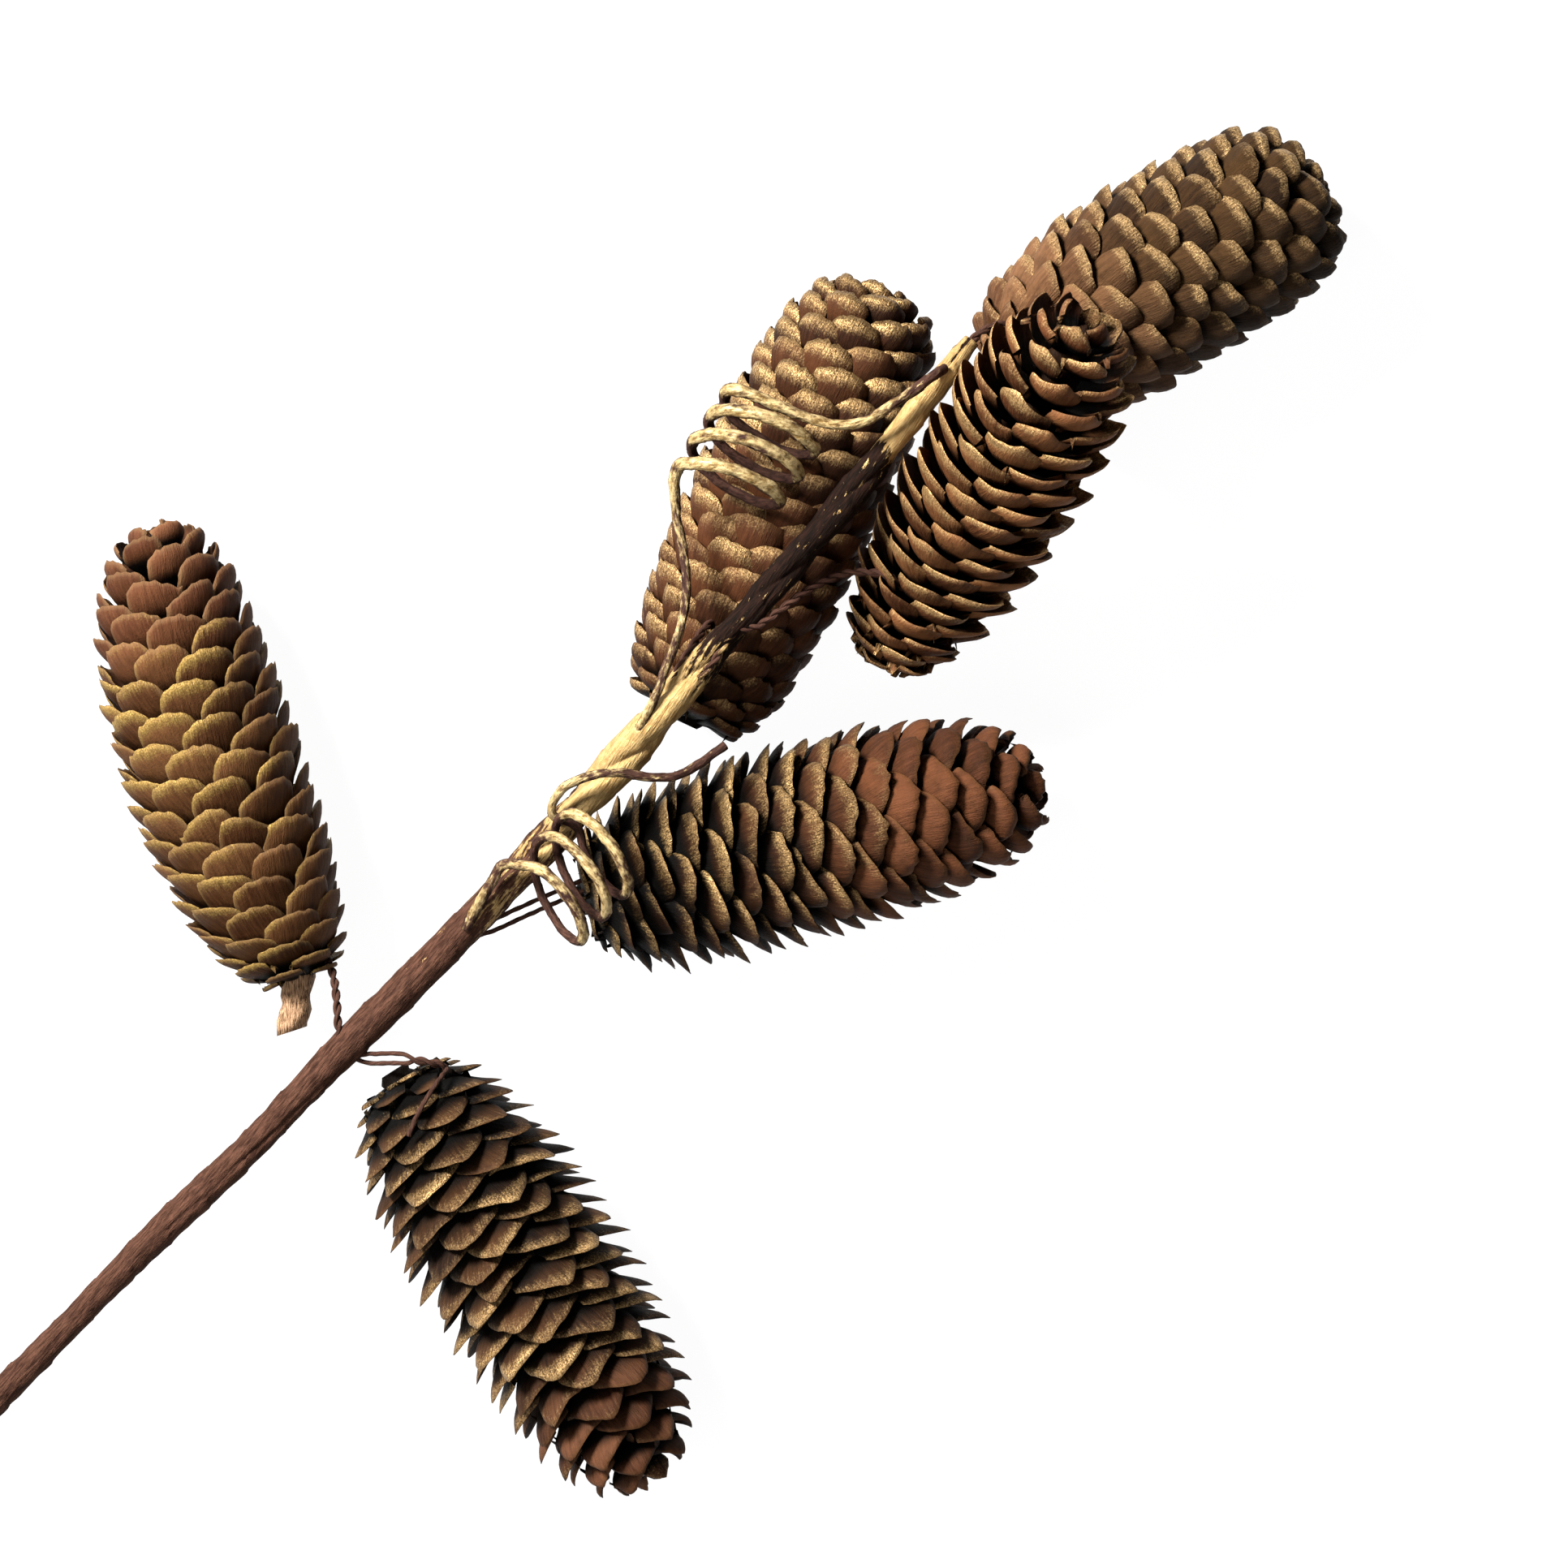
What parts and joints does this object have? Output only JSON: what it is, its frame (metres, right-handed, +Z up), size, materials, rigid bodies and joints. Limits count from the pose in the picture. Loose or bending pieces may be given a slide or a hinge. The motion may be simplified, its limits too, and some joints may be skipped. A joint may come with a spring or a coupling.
{
  "type": "pine cone pick",
  "caption": "Long paper wrapped stem with spruce cones wired along its upper half and two curled tendrils, lying flat; a decorative pick for wreaths and arrangements.",
  "frame": {"origin": "the middle of the object's box, on the table it lies on", "axes": "+X along the stem towards its cone end, +Z up from the table"},
  "size_m": [0.5308, 0.2662, 0.0906],
  "materials": {
    "paper_wrap": "matt crepe paper tape, partly brushed with gold",
    "cone_olive": "olive brown cone scales brushed with muted gold",
    "cone_dark": "dark brown open cone scales with gold on their edges",
    "cone_red": "reddish brown cone scales with gold on their edges",
    "cone_gilded": "brown closed cone scales with bright gold upper edges",
    "cone_bronze": "brown open cone scales brushed with pale gold",
    "cone_crown": "brown rounded cone scales with gold ridges",
    "wire_wrap": "matt dark paper covering on twisted wire",
    "tendril_wrap": "paper wrapped wire brushed with gold"
  },
  "bodies": {
    "root": {"main_stem": "paper_wrap", "cone_a": "cone_olive", "cone_b": "cone_dark", "cone_c": "cone_red", "cone_d": "cone_gilded", "cone_e": "cone_bronze", "cone_f": "cone_crown", "wire_a": "wire_wrap", "wire_b": "wire_wrap", "wire_c": "wire_wrap", "wire_d": "wire_wrap", "wire_e": "wire_wrap", "wire_f": "wire_wrap", "tendril_upper": "tendril_wrap", "tendril_lower": "tendril_wrap"}
  },
  "joints": []
}
